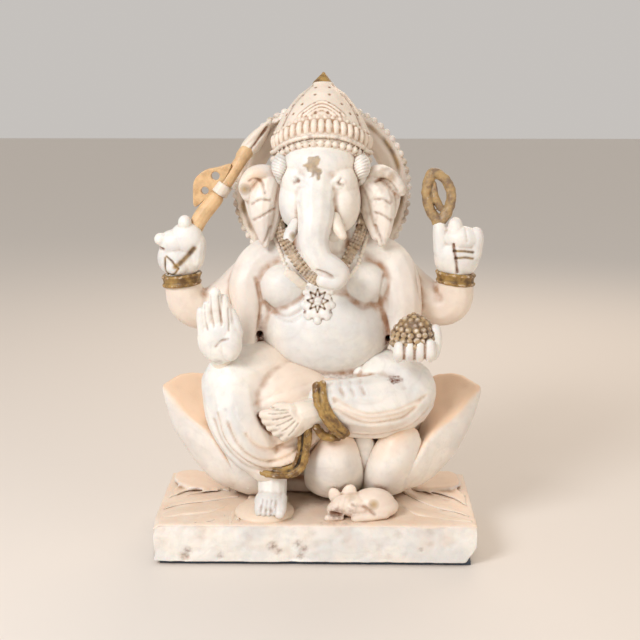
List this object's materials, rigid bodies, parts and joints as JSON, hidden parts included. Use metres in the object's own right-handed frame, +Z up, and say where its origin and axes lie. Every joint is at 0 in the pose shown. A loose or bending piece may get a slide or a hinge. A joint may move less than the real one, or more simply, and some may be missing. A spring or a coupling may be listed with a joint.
{
  "type": "seated elephant-headed idol",
  "caption": "Seated elephant-headed stone idol with a crown, halo, spread arms and a lotus seat, carved on a rectangular slab with a felt underside.",
  "frame": {"origin": "middle of the pad's underside, on the surface the idol stands on", "axes": "+Z up, the figure faces -Y, the figure's own left is +X"},
  "size_m": [0.204, 0.1, 0.2975],
  "materials": {
    "marble": "hand-carved and softly polished white marble",
    "tinted_marble": "marble with old wax and dust warmed to cream in the hollows",
    "gilded_marble": "marble with worn gold-brown paint",
    "amber_marble": "marble washed with amber-gold paint",
    "felt": "pressed felt"
  },
  "bodies": {
    "root": {"felt_pad": "felt", "base_slab": "marble", "base_leaves": "tinted_marble", "mouse": "marble", "foot_rest": "marble", "lotus_core": "tinted_marble", "lotus_petals_outer": "marble", "lotus_petals_inner": "tinted_marble", "torso": "marble", "right_thigh": "marble", "right_shin": "marble", "right_foot": "marble", "left_thigh": "marble", "left_shin": "marble", "left_foot": "marble", "right_hem": "gilded_marble", "left_hem": "gilded_marble", "waist_folds": "marble", "front_right_upper_arm": "marble", "front_right_forearm": "marble", "front_right_hand": "marble", "front_left_upper_arm": "marble", "front_left_forearm": "marble", "front_left_hand": "marble", "rear_right_upper_arm": "marble", "rear_right_forearm": "marble", "rear_right_hand": "marble", "rear_right_bangle": "gilded_marble", "rear_left_upper_arm": "marble", "rear_left_forearm": "marble", "rear_left_hand": "marble", "rear_left_bangle": "gilded_marble", "sweets": "gilded_marble", "axe_shaft": "amber_marble", "axe_socket": "marble", "axe_blade": "amber_marble", "noose": "gilded_marble", "necklace": "gilded_marble", "pendant": "gilded_marble", "head": "marble", "trunk": "marble", "right_tusk": "marble", "left_tusk": "marble", "right_ear": "marble", "left_ear": "marble", "crown": "marble", "crown_band": "tinted_marble", "crown_finial": "gilded_marble", "halo_ring": "marble", "halo_pearls": "gilded_marble", "halo_bud": "amber_marble"}
  },
  "joints": []
}
